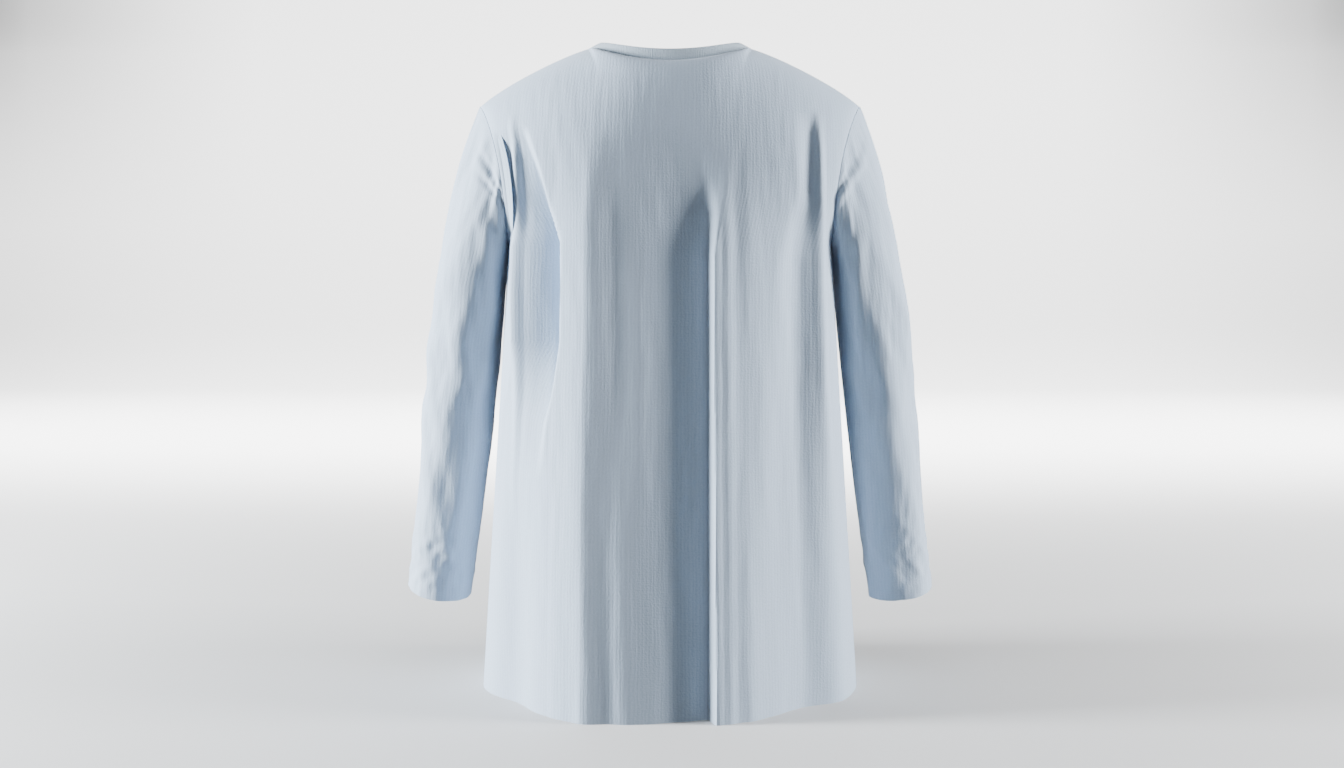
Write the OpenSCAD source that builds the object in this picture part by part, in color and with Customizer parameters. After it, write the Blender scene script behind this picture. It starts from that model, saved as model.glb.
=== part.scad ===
// Long-sleeved patient gown with a closed back and a lapped, tied front opening.
// Millimetres. +Z is up, +X is the wearer's right and +Y is the wearer's front.
// The origin is on the floor under the middle of the gown, which stands on its hem.
// Cloth pieces are thin closed sheets, and a gap or a small step keeps each layer
// clear of the next one.

/* [Body] */
// Width across the back from shoulder tip to shoulder tip
shoulder_w = 500; // [470:5:540]
// Height of the shoulder tips above the hem
tip_z = 755; // [720:5:800]
// Height of the side neck points above the hem
neck_z = 838; // [810:2:880]
// Height of the underarm points above the hem
underarm_z = 575; // [540:5:610]
// Width between the side seams at the hem
hem_w = 490; // [460:5:540]
// Width between the side seams at the underarm
chest_w = 424; // [410:2:440]
// How far the back stands behind the side seams at the hem
hem_back = 198; // [150:2:210]
// How far the back stands behind the side seams at the underarm
chest_back = 106; // [90:2:120]
// How far the front stands before the side seams at the hem
hem_front = 142; // [120:2:170]
// How far the front stands before the side seams at the underarm
chest_front = 98; // [86:2:110]

/* [Neck] */
// Width of the neck opening inside the band
neck_w = 186; // [170:2:200]
// Width of the bound neck band
band_w = 15; // [10:1:20]
// How much lower the front of the neck is than its sides
neck_drop_front = 85; // [60:5:100]
// How much lower the back of the neck is than its sides
neck_drop_back = 18; // [10:1:30]

/* [Sleeves] */
// Height of the middle of the cuff above the hem
cuff_z = 100; // [80:2:200]
// Width of the open cuff, side to side
cuff_w = 87; // [80:1:96]
// How far the cuff hangs in front of the armhole
sleeve_forward = 85; // [40:5:110]

/* [Front opening] */
// How far each front reaches past the middle
lap = 30; // [20:2:32]
// Width of a tie
tie_w = 11; // [8:1:12]
// Free length of a neck tie
neck_tie_l = 220; // [180:5:225]
// Free length of a waist tie
waist_tie_l = 320; // [240:10:360]
// Height of the waist ties above the hem
waist_z = 470; // [440:5:480]

/* [Cloth] */
// Thickness of a cloth panel, as a solid
cloth = 1.4; // [1.2:0.1:1.6]
// Thickness of a turned edge, seam allowance or tie, as a solid
fold = 1.0; // [0.8:0.1:1.2]
// Depth of the turned hems of the body and cuffs
hem_d = 20; // [12:2:30]

/* [Hidden] */

side_y = 28;          // the side seams' place, front to back
section_n = 2.5;      // squareness of the body's oval section
section_hem = 2.1;    // and of the back's at the hem, where it is rounder
neck_y = 20;          // the side neck points' place, front to back
tip_y = 15;           // the shoulder tips' place, front to back
neck_back = 67;       // from the side neck points back to the band's top
neck_front = 80;      // from the side neck points forward to the band's top
band_lean = 4;        // how far the band leans in from its seam to its top
armhole_turn = 26;    // how far, in degrees, an armhole edge stands in from the side
armhole_round = 0.55; // roundness of the ends of the armhole, less is rounder
armhole_curve = 2.5;  // how sharply the armhole line turns out to the shoulder tip
joint_gap = 0.45;     // between pieces that meet edge to edge
neck_gap = 1;         // between the neck band and the panels below it
side_gap = 0.6;       // from the side and shoulder seam lines to a panel
fold_gap = 1;         // from the fold line to a panel or a flap
fold_hem_x = 125;     // the fold line's distance from the middle at the hem
fold_neck_x = 70;     // and at the neck seam
lap_gap = 4.5;        // how far the lapping flap stands off the flap under it
ramp = 15;            // distance from the fold line over which it rises to that
layer_gap = 0.35;     // between two layers of cloth
tie_lift = 0.9;       // from a flap to the tie that lies on it
tie_step = 6;         // from a flap's edge to its tie, or to the other flap's tie
tie_end_l = 14;       // sewn length of a tie
tie_gap = 1.2;        // from the sewn end to the free tie, so that it can turn
tie_inset = 6;        // from the neck seam to the neck ties
hem_lift = 0.6;       // the turned hems stay this far off the floor, inside the fold
seam_half = 6;        // half the width of a side seam's opened allowance
seam_above_hem = 4;   // from the turned hem up to the side seam's allowance
seam_under_arm = 12;  // from the underarm down to it
shoulder_in = 12;     // from the neck seam to the shoulder seam's allowance
shoulder_out = 22;    // and from the armhole to it
shoulder_half = 5;    // half the width of that allowance
shoulder_low = 3;     // how far it hangs below the seam line
shoulder_slope = 0.9; // its fall to either side, as a share of its width
armhole_angles = [80, 84, 88]; // where the armhole seam's allowance lies, in degrees
armhole_first = 1.06; // rows where that allowance starts and ends
armhole_last = 1.99;
band_out = 0.7;       // how far the neck band stands off the line of the cloth
band_thick = 2.4;     // thickness of the band's folded layers
label_rows = [1.74, 1.79, 1.84, 1.89];
label_angles = [-3, 0, 3];
label_in = 2;         // from the back's inner face to the care label
label_thick = 0.8;

armhole_x = 222;      // middle of the armhole, where the sleeve's line starts
armhole_y = 27;
armhole_z = 665;
sleeve_out = 50;      // how far the sleeve's line steps out under the arm
sleeve_swing = 48;    // how far the sleeve's line swings out by the cuff
sleeve_taper = 13;    // how much the sleeve's half width shrinks down to the cuff
sleeve_tuck = 50;     // how much its inner half is pressed in beside the body
sleeve_deep = 62;     // half of the sleeve's depth, front to back, at the armhole
cuff_round = 0.47;    // half of the cuff's depth, as a share of its width
out_length = 0.25;    // share of the sleeve's line over which it steps out
tuck_length = 0.2;    // share of it over which the inner half is pressed in
swing_power = 1.7;    // how late the line swings out, more is later
forward_power = 1.2;  // how late it swings forward
deep_power = 0.7;     // how late its depth shrinks
cap_end = 0.28;       // share of the sleeve's line where the cap ends
cap_round = 40;       // how full the cap stands over the shoulder tip
sleeve_gap = 1.5;     // between the sleeve and the armhole edge
arm_l = (armhole_z - cuff_z) * (1 - cap_end); // height of the sleeve below its cap

// Steps of the meshes
lower_rows = 5;
upper_rows = 9;
neck_cols = 8;
shoulder_cols = 8;
neck_side_cols = 7;
flap_cols = 10;
facing_cols = 3;      // columns of a flap that its turned front edge covers
round_cols = 24;
cap_rows = 6;
arm_rows = 10;
band_cols = 8;         // columns of each side stretch of the neck band
seam_steps = 6;       // rows or columns of a shoulder or side seam

LEFT = -1;
RIGHT = 1;

function lerp(a, b, t) = a + (b - a) * t;
function unit(v) = v / norm(v);
function smooth(t) = let (u = min(1, max(0, t))) u * u * (3 - 2 * u);
function flip(p, side) = [side * p[0], p[1], p[2]];

// Superellipse helpers: the section's power of a sine or cosine, and the angle back
function section(row, front) =
    front ? section_n : lerp(section_hem, section_n, min(1, row));
function power(q, n = section_n) = sign(q) * pow(abs(q), 2 / n);
function angle_at(share) = sign(share) * asin(min(1, pow(abs(share), section_n / 2)));

// ---- The body's surface -------------------------------------------------------
// A row is a number: from 0 at the hem to 1 at the underarm, then to 2 at the top.
function rise(row) = max(0, row - 1);
function body_half(row) = lerp(hem_w, chest_w, min(1, row)) / 2;
function armhole_half(row) =
    lerp(chest_w, shoulder_w, pow(rise(row), armhole_curve)) / 2;
function side_angle(row) =
    90 - armhole_turn * pow(max(0, sin(180 * rise(row))), armhole_round);
function half_at(row) = row <= 1 ? body_half(row) : armhole_half(row);

// Neck loop: turn is 0 at the middle back, 90 at the wearer's right and 180 in front;
// k is 0 at the band's top edge and 1 at its seam.
function neck_point(turn, k) =
    let (c = cos(turn), f = abs(c), out = neck_w / 2 + (band_w - 1) * k)
    [out * sin(turn),
     c > 0 ? neck_y - (neck_back + band_lean * k) * f
           : neck_y + (neck_front + band_lean * k) * f,
     c > 0 ? neck_z - band_w / 2 * k - (neck_drop_back + band_w / 2 * k) * f * f
           : neck_z - band_w / 2 * k - (neck_drop_front + band_w / 3 * k) * pow(f, 1.6)];

seam_half_w = neck_w / 2 + band_w - 1;
function neck_turn(x, front) = let (t = asin(min(1, x / seam_half_w))) front ? 180 - t : t;

// The top edge of a panel over the distance x from the middle
function top_point(x, front) =
    abs(x) < seam_half_w
    ? let (p = neck_point(neck_turn(abs(x), front), 1)) [x, p[1], p[2] - neck_gap]
    : let (side = neck_point(90, 1),
           share = (abs(x) - seam_half_w) / (shoulder_w / 2 - seam_half_w))
      [x, lerp(side[1], tip_y, share), lerp(side[2], tip_z, share) - neck_gap];

// A point of the front or back at an angle from its middle, on a row
function body_point(angle, row, front) =
    let (depth_hem = front ? hem_front : hem_back,
         depth_chest = front ? chest_front : chest_back,
         n = section(row, front),
         turned = angle * side_angle(row) / 90,
         x = half_at(row) * power(sin(turned), n) / power(sin(side_angle(row)), n),
         top = top_point(shoulder_w / 2 * power(sin(angle)), front),
         z = row <= 1 ? row * underarm_z : lerp(underarm_z, top[2], rise(row)),
         straight = lerp(depth_hem, depth_chest, z / underarm_z),
         depth = (front || row <= 1) ? straight : depth_chest,
         away = front ? 1 : -1,
         y = side_y + away * depth * power(cos(turned), n),
         close = 1 - pow(1 - pow(rise(row), 3), 1 / 3))
    [x, lerp(y, top[1], close) + away * side_gap, z];

// The angle that puts a point of the front at x on a row
function front_angle(x, row) =
    angle_at(x / half_at(row) * power(sin(side_angle(row)))) * 90 / side_angle(row);
function front_point(x, row) = body_point(front_angle(x, row), row, true);
function fold_x(row) =
    let (z = row <= 1 ? row * underarm_z : lerp(underarm_z, front_z_top, rise(row)))
    lerp(fold_hem_x, fold_neck_x, z / front_z_top);
front_z_top = neck_point(neck_turn(fold_neck_x, true), 1)[2];

// The angle of the column that ends where the shoulder seam meets the neck
neck_angle = angle_at(seam_half_w / (shoulder_w / 2));
function neck_column(from, row) =
    lerp(from + 0.2 * (90 - from), neck_angle, rise(row));

LOWER = [for (i = [0 : lower_rows]) i / lower_rows];
UPPER = [for (i = [1 : upper_rows]) 1 + sin(90 * i / upper_rows)];
ROWS = concat(LOWER, UPPER);
FACING_ROWS = [for (i = [0 : len(ROWS) - 2]) ROWS[i]];
HEM_ROWS = [hem_lift / underarm_z, hem_d / underarm_z];

// ---- Sheets -------------------------------------------------------------------
// A grid's rows go up and its columns go anticlockwise seen from above, so that the
// cross product points out of the gown.
function grid_normal(g, i, j, closed) =
    let (n = len(g), m = len(g[0]),
         a = g[min(n - 1, i + 1)][j] - g[max(0, i - 1)][j],
         b = closed ? g[i][(j + 1) % m] - g[i][(j + m - 1) % m]
                    : g[i][min(m - 1, j + 1)] - g[i][max(0, j - 1)])
    unit(cross(b, a));
function moved(g, out, closed) =
    [for (i = [0 : len(g) - 1]) [for (j = [0 : len(g[0]) - 1])
        g[i][j] + out * grid_normal(g, i, j, closed)]];
// Keeps the ends of a standing sheet level, so that it rests flat on the floor
function levelled(g, like) =
    [for (i = [0 : len(g) - 1]) [for (j = [0 : len(g[0]) - 1])
        like[i][j][2] < 0.001 ? [g[i][j][0], g[i][j][1], 0] : g[i][j]]];

// A closed sheet whose outer face stands `out` off the grid
module sheet(g, out = 0, thick = cloth, closed = false) {
    outer = levelled(moved(g, out, closed), g);
    inner = levelled(moved(g, out - thick, closed), g);
    n = len(g);
    m = len(g[0]);
    last = closed ? m - 1 : m - 2;
    size = n * m;
    function o(i, j) = i * m + j % m;
    function q(i, j) = size + i * m + j % m;
    faces = [
        for (i = [0 : n - 2]) for (j = [0 : last]) each [
            [o(i, j), o(i + 1, j), o(i + 1, j + 1)],
            [o(i, j), o(i + 1, j + 1), o(i, j + 1)],
            [q(i, j), q(i + 1, j + 1), q(i + 1, j)],
            [q(i, j), q(i, j + 1), q(i + 1, j + 1)]],
        for (j = [0 : last]) each [
            [o(0, j), o(0, j + 1), q(0, j + 1)],
            [o(0, j), q(0, j + 1), q(0, j)],
            [o(n - 1, j + 1), o(n - 1, j), q(n - 1, j)],
            [o(n - 1, j + 1), q(n - 1, j), q(n - 1, j + 1)]],
        if (!closed) for (i = [0 : n - 2]) each [
            [o(i + 1, 0), o(i, 0), q(i, 0)],
            [o(i + 1, 0), q(i, 0), q(i + 1, 0)],
            [o(i, m - 1), o(i + 1, m - 1), q(i + 1, m - 1)],
            [o(i, m - 1), q(i + 1, m - 1), q(i, m - 1)]]];
    points = [each [for (r = outer) each r], each [for (r = inner) each r]];
    polyhedron(points = points, faces = faces, convexity = 6);
}

// ---- Grids of the body panels --------------------------------------------------
BACK_ANGLES = concat(
    [for (j = [0 : shoulder_cols - 1]) lerp(-90, -neck_angle, j / shoulder_cols)],
    [for (j = [0 : neck_cols]) lerp(-neck_angle, neck_angle, j / neck_cols)],
    [for (j = [1 : shoulder_cols]) lerp(neck_angle, 90, j / shoulder_cols)]);
function back_grid(rows) =
    [for (r = rows) [for (a = BACK_ANGLES) body_point(a, r, false)]];

// A front's fixed part, from its fold line to its side; columns run anticlockwise
function front_angles(from, corner) = concat(
    [for (j = [0 : neck_side_cols - 1]) lerp(from, corner, j / neck_side_cols)],
    [for (j = [0 : shoulder_cols]) lerp(corner, 90, j / shoulder_cols)]);
function backwards(list) = [for (i = [len(list) - 1 : -1 : 0]) list[i]];
function side_front_grid(side, rows) =
    [for (r = rows)
        let (from = front_angle(fold_x(r) + fold_gap, r),
             angles = front_angles(from, neck_column(from, r)),
             line = [for (a = angles) flip(body_point(a, r, true), side)])
        side == RIGHT ? backwards(line) : line];

// A front's flap, from its fold line past the middle; the left one laps the right one
function flap_grid(side, rows, first = 0, last = flap_cols) =
    [for (r = rows)
        let (line = [for (j = [first : last])
            let (x = lerp(fold_x(r) - fold_gap, -lap, j / flap_cols))
            lapped(front_point(side * x, r), side, fold_x(r) - x)])
        side == RIGHT ? line : backwards(line)];
function lapped(p, side, from_fold) =
    p + [0, side == LEFT ? lap_gap * smooth((from_fold - fold_gap) / ramp) : 0, 0];

// ---- Sleeves --------------------------------------------------------------------
function arm_line(s) =
    [armhole_x + sleeve_out * (1 - exp(-s / out_length))
     + sleeve_swing * pow(max(0, s), swing_power),
     armhole_y + sleeve_forward * pow(max(0, s), forward_power),
     lerp(armhole_z, cuff_z, s)];
function arm_half(s) = cuff_w / 2 + sleeve_taper * (1 - s);
function arm_deep(s) = lerp(sleeve_deep, cuff_w * cuff_round, pow(s, deep_power));
function arm_ring(s, turn) =
    let (along = unit(arm_line(s + 0.01) - arm_line(s - 0.01)),
         ahead = unit([0, 1, 0] - along[1] * along),
         out = cross(along, ahead),
         half = arm_half(s) - (sin(turn) < 0 ? sleeve_tuck * exp(-s / tuck_length) : 0))
    arm_line(s) + out * half * sin(turn) - ahead * arm_deep(s) * cos(turn);
// The armhole edge at the same turn: under the arm at -90, the shoulder tip at 90
function armhole_edge(turn) =
    turn <= 90 ? body_point(90, 1 + (turn + 90) / 180, false)
               : body_point(90, 1 + (270 - turn) / 180, true);
function curve(p, p_way, q, q_way, t) =
    let (a = t * t * (3 - 2 * t))
    p * (1 - a) + q * a + t * (1 - t) * ((1 - t) * p_way - t * q_way);
function cap_point(turn, k) =
    let (p = armhole_edge(turn) + [sleeve_gap, 0, 0],
         q = arm_ring(cap_end, turn),
         q_way = (arm_ring(cap_end + 0.02, turn) - arm_ring(cap_end - 0.02, turn)) / 0.04,
         top = max(0, sin(turn)))
    curve(p, q - p + cap_round * top * top * [1, 0, 0.4], q, q_way * cap_end, k);
// k is 0 at the armhole, 1 where the cap ends and 2 at the cuff
function sleeve_point(turn, k) =
    k < 1 ? cap_point(turn, k) : arm_ring(lerp(cap_end, 1, k - 1), turn);
SLEEVE_ROWS = concat([for (i = [0 : arm_rows]) 2 - i / arm_rows],
                     [for (i = [1 : cap_rows]) 1 - i / cap_rows]);
function sleeve_grid(side, rows) =
    [for (k = rows) [for (j = [0 : round_cols - 1])
        let (turn = lerp(-90, 270, (side == RIGHT ? j : round_cols - j) / round_cols))
        flip(sleeve_point(turn, k), side)]];

// ---- Neck band ------------------------------------------------------------------
BAND_ROWS = [1, 0.5, 0];
function band_grid(from, to, cols, out = 0) =
    [for (k = BAND_ROWS) [for (j = [0 : cols])
        let (turn = lerp(from, to, j / cols), p = neck_point(turn, k)) p + [0, out, 0]]];
function band_x_turn(x) = 180 - asin(x / seam_half_w);
fold_turn = band_x_turn(fold_neck_x);
fold_turn_gap = 0.6;
shoulder_turn_gap = 0.3;
lap_turn = asin(lap / seam_half_w);
// A flap's stretch of the band, standing off with the flap
function flap_band_grid(side) =
    [for (k = BAND_ROWS) [for (j = [0 : flap_cols])
        let (near = fold_turn + fold_turn_gap, far = 180 + lap_turn,
             turn = side == RIGHT ? lerp(near, far, j / flap_cols)
                                  : lerp(360 - far, 360 - near, j / flap_cols),
             p = neck_point(turn, k),
             edge = fold_neck_x * neck_point(90, k)[0] / seam_half_w)
        p + [0, side == LEFT ? lap_gap * smooth((p[0] + edge) / ramp) : 0, 0]]];

// ---- Ties -------------------------------------------------------------------------
// A tie lies on its flap, and the middle of its end stands at x
function tie_middle(side) = side == LEFT ? lap - tie_step - tie_w / 2
                                         : lap + tie_step + tie_w / 2;
function tie_stand(side) = (side == LEFT ? lap_gap : 0) + tie_lift + fold;
function row_at(x, z) =
    z <= underarm_z ? z / underarm_z
    : 1 + (z - underarm_z) / (top_point(x, true)[2] - underarm_z);
function tie_grid(side, from_z, to_z, steps) =
    [for (i = [0 : steps]) [for (s = [1, -1])
        let (x = tie_middle(side) + s * tie_w / 2, z = lerp(to_z, from_z, i / steps))
        front_point(x, row_at(x, z))]];
neck_tie_top = top_point(lap - tie_step - tie_w, true)[2] - tie_end_l - tie_inset;
module tie(side, top, length) {
    sheet(tie_grid(side, top, top - length, 10), tie_stand(side), fold);
}
module tie_end(side, top) {
    sheet(tie_grid(side, top + tie_end_l, top + tie_gap, 2), tie_stand(side), fold);
}

// ---- Sub-parts ----------------------------------------------------------------------
module back_panel() { color("lightsteelblue") sheet(back_grid(ROWS)); }
module front_panel(side) { color("lightsteelblue") sheet(side_front_grid(side, ROWS)); }
module front_flap(side) { color("lightsteelblue") sheet(flap_grid(side, ROWS)); }
module sleeve(side) {
    color("lightsteelblue") sheet(sleeve_grid(side, SLEEVE_ROWS), 0, cloth, true);
}

module neck_band_back() {
    color("slategray")
        sheet(band_grid(-90 + shoulder_turn_gap, 90 - shoulder_turn_gap, 24), band_out, band_thick);
}
module neck_band(side) {
    near = 90 + shoulder_turn_gap;
    color("slategray")
        sheet(side == RIGHT
              ? band_grid(near, fold_turn - fold_turn_gap, band_cols)
              : band_grid(360 - fold_turn + fold_turn_gap, 360 - near, band_cols),
              band_out, band_thick);
}
module flap_neck_band(side) {
    color("slategray") sheet(flap_band_grid(side), band_out, band_thick);
}

// Turned edges and seam allowances lie inside the panels
module flap_facing(side) {
    color("lightblue")
        sheet(flap_grid(side, FACING_ROWS, flap_cols - facing_cols, flap_cols),
              -cloth - layer_gap, fold);
}
module back_hem() {
    inner = [for (a = BACK_ANGLES) if (abs(a) < 90) a];
    color("lightblue")
        sheet([for (r = HEM_ROWS) [for (a = inner) body_point(a, r, false)]],
              -cloth - layer_gap, fold);
}
module front_hem(side) {
    inner = [for (line = side_front_grid(side, HEM_ROWS))
        [for (j = [1 : len(line) - 1]) line[side == RIGHT ? j : j - 1]]];
    color("lightblue") sheet(inner, -cloth - layer_gap, fold);
}
module flap_hem(side) {
    color("lightblue")
        sheet(flap_grid(side, HEM_ROWS, 0, flap_cols - facing_cols - 1),
              -cloth - layer_gap, fold);
}
module cuff_hem(side) {
    color("lightblue")
        sheet(sleeve_grid(side, [2 - hem_lift / arm_l, 2 - hem_d / arm_l]),
              -cloth - layer_gap, fold, true);
}

module armhole_seam(side) {
    rows = [for (r = UPPER) if (r > armhole_first && r < armhole_last) r];
    color("lightblue") for (front = [false, true]) {
        g = [for (r = rows) [for (a = armhole_angles) body_point(a, r, front)]];
        sheet([for (line = g) let (kept = [for (p = line) flip(p, side)])
               (side == RIGHT) == front ? backwards(kept) : kept],
              -cloth - 3 * layer_gap, fold);
    }
}
// A point a little in front of the side line, or behind it where `off` is negative
function beside_seam(off, row) =
    let (front = off > 0,
         depth = lerp(front ? hem_front : hem_back, front ? chest_front : chest_back, row))
    body_point(acos(pow(abs(off) / depth, section(row, front) / 2)), row, front);
module side_seam(side) {
    first = (hem_d + seam_above_hem) / underarm_z;
    last = 1 - seam_under_arm / underarm_z;
    color("lightblue") sheet(
        [for (i = [0 : seam_steps]) let (row = lerp(first, last, i / seam_steps))
            [for (s = [-1, 0, 1]) flip(beside_seam(s * side * seam_half, row), side)]],
        -cloth - 3 * layer_gap, fold);
}
module shoulder_seam(side) {
    near = side * (seam_half_w + shoulder_in);
    far = side * (shoulder_w / 2 - shoulder_out);
    first = min(near, far);
    last = max(near, far);
    under = cloth + 4 * layer_gap + shoulder_low;
    color("lightblue") sheet(
        [for (y = [-shoulder_half, 0, shoulder_half]) [for (j = [0 : seam_steps])
            let (p = top_point(lerp(first, last, j / seam_steps), true))
            [p[0], p[1] + y, p[2] - under - abs(y) * shoulder_slope]]],
        0, fold);
}

module care_label() {
    color("white") sheet(
        [for (r = label_rows) [for (a = label_angles) body_point(a, r, false)]],
        -cloth - label_in, label_thick);
}

module tie_ends(side) {
    color("lightblue") {
        tie_end(side, neck_tie_top);
        tie_end(side, waist_z);
    }
}

back_panel();
front_panel(LEFT);  // left_front_panel
front_panel(RIGHT);  // right_front_panel
front_flap(LEFT);  // left_front_flap
front_flap(RIGHT);  // right_front_flap
sleeve(LEFT);  // left_sleeve
sleeve(RIGHT);  // right_sleeve
neck_band_back();
neck_band(LEFT);  // left_neck_band
neck_band(RIGHT);  // right_neck_band
flap_neck_band(LEFT);  // left_flap_neck_band
flap_neck_band(RIGHT);  // right_flap_neck_band
flap_facing(LEFT);  // left_flap_facing
flap_facing(RIGHT);  // right_flap_facing
back_hem();
front_hem(LEFT);  // left_front_hem
front_hem(RIGHT);  // right_front_hem
flap_hem(LEFT);  // left_flap_hem
flap_hem(RIGHT);  // right_flap_hem
cuff_hem(LEFT);  // left_cuff_hem
cuff_hem(RIGHT);  // right_cuff_hem
armhole_seam(LEFT);  // left_armhole_seam
armhole_seam(RIGHT);  // right_armhole_seam
shoulder_seam(LEFT);  // left_shoulder_seam
shoulder_seam(RIGHT);  // right_shoulder_seam
side_seam(LEFT);  // left_side_seam
side_seam(RIGHT);  // right_side_seam
tie_ends(LEFT);  // left_tie_ends
tie_ends(RIGHT);  // right_tie_ends
tie(LEFT, neck_tie_top, neck_tie_l);  // left_neck_tie
tie(RIGHT, neck_tie_top, neck_tie_l);  // right_neck_tie
tie(LEFT, waist_z, waist_tie_l);  // left_waist_tie
tie(RIGHT, waist_z, waist_tie_l);  // right_waist_tie
care_label();
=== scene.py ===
"""A light-blue patient gown in its worn shape, seen from its closed back.

Sizes are in millimetres and are turned into metres where a mesh is made. The surfaces are
the same ones as the CAD part's, with the folds of the photographed gown added to them.
"""

import math

import bpy
import numpy as np
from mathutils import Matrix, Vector


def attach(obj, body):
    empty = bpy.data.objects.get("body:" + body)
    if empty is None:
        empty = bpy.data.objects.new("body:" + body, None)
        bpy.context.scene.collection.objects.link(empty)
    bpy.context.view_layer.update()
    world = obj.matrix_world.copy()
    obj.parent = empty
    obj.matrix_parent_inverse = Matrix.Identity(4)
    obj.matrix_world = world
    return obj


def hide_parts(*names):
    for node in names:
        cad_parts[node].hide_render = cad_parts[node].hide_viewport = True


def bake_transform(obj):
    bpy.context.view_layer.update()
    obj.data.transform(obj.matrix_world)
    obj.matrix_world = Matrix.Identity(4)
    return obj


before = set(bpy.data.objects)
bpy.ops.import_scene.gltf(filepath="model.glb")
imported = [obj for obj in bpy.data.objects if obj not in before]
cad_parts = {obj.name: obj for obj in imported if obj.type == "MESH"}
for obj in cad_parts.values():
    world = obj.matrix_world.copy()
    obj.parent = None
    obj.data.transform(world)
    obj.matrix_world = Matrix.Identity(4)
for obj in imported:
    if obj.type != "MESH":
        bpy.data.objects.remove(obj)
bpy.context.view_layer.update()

IMAGE_W = 1344
MM = 0.001
LEFT, RIGHT = -1, 1
NAMES = {LEFT: "left", RIGHT: "right"}

# ---- Sizes of the gown ------------------------------------------------------------
SHOULDER_W = 500
TIP_Z = 755
NECK_Z = 838
UNDERARM_Z = 575
HEM_W = 490
CHEST_W = 424
BACK_DEPTH = (198, 106)  # at the hem and at the underarm
FRONT_DEPTH = (142, 98)
NECK_W = 186
BAND_W = 15
NECK_DROP_FRONT = 85
NECK_DROP_BACK = 18
NECK_BACK = 67
NECK_FRONT = 80
BAND_LEAN = 4
SIDE_Y = 28
NECK_Y = 20
TIP_Y = 15
SHOULDER_ARCH = 8  # how far the shoulder line is arched above a straight one
ROUNDING = 60  # how far along the top edge its corners are rounded, in the cloth below it
SECTION = 2.5
SECTION_HEM = 2.1
ARMHOLE_TURN = 26
ARMHOLE_ROUND = 0.55
ARMHOLE_CURVE = 2.5
LAP = 30
LAP_GAP = 4.5
RAMP = 15
FOLD_X = (125, 70)  # the fold line's distance from the middle, at the hem and the neck
CUFF_Z = 100
CUFF_W = 87
SLEEVE_FORWARD = 85
TIE_W = 11
TIE_STEP = 6
TIE_END = 14
TIE_INSET = 6
TIE_GAP = 0.4  # gap between a tie and its sewn end
NECK_TIE_L = 220
WAIST_TIE_L = 320
WAIST_Z = 470
HEM_D = 20
CLOTH = 0.9  # thickness of the panels
TURNED = 0.7  # thickness of turned edges, allowances and ties
LAYER = 0.3  # gap between two layers
HEM_EDGE = 0.6  # how far the turned edges end above the floor
EDGE_SINK = 0.6  # how far the panels' top edge is below the band's seam
SEAM_OUT = 0.7  # how far the sleeve's edge stands off the armhole
ABOVE_UNDERARM = 270  # cloth from the underarm up to the highest part of the top edge
UNDERARM_EASE = 0.15  # how gently the back's depth changes at the underarm
EDGE_POWER = 22  # how close to the top edge the cloth keeps that edge's corners

# The sleeve's middle line and its rings, from 0 level with the armhole to 1 at the cuff.
ARM_X = 222
ARM_Z = 665
ARM_Y = 27
ARM_FLARE = 50  # how far it swings out at its start
ARM_FLARE_RUN = 0.25
ARM_SWING = 48  # and how far more by the cuff
UPPER_WIDER = 13
UPPER_DEEP = 62
CUFF_DEEP = CUFF_W * 0.47
TUCK = 50  # how far the side next to the body is tucked in at its start
TUCK_RUN = 0.2
CAP_LIFT = 40


def lerp(a, b, t):
    return a + (b - a) * t


def smooth(t):
    t = np.clip(t, 0, 1)
    return t * t * (3 - 2 * t)


def unit(v):
    return v / np.maximum(np.linalg.norm(v, axis=-1, keepdims=True), 1e-9)


def sin(degrees):
    return np.sin(np.radians(degrees))


def cos(degrees):
    return np.cos(np.radians(degrees))


def stack(*parts):
    return np.stack(np.broadcast_arrays(*parts), axis=-1).astype(float)


# ---- The body's surface, as in the CAD part ------------------------------------------
# A row runs from 0 at the hem to 1 at the underarm and 2 at the top edge.
SEAM_HALF_W = NECK_W / 2 + BAND_W - 1


def power(q, n):
    return np.sign(q) * np.abs(q) ** (2 / n)


def half_at(row):
    rise = np.maximum(0, row - 1)
    below = lerp(HEM_W, CHEST_W, np.minimum(1, row)) / 2
    above = lerp(CHEST_W, SHOULDER_W, rise**ARMHOLE_CURVE) / 2
    return np.where(row <= 1, below, above)


def side_angle(row):
    rise = np.maximum(0, row - 1)
    return 90 - ARMHOLE_TURN * np.maximum(0, sin(180 * rise)) ** ARMHOLE_ROUND


def neck_point(turn, k):
    """turn is 0 at the middle back and 180 in front; k is 0 at the band's top, 1 at its seam."""
    c = cos(turn)
    f = np.abs(c)
    x = (NECK_W / 2 + (BAND_W - 1) * k) * sin(turn)
    back_y = NECK_Y - (NECK_BACK + BAND_LEAN * k) * f
    front_y = NECK_Y + (NECK_FRONT + BAND_LEAN * k) * f
    back_z = NECK_Z - BAND_W / 2 * k - (NECK_DROP_BACK + BAND_W / 2 * k) * f * f
    front_z = NECK_Z - BAND_W / 2 * k - (NECK_DROP_FRONT + BAND_W / 3 * k) * f**1.6
    return stack(x, np.where(c > 0, back_y, front_y), np.where(c > 0, back_z, front_z))


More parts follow.
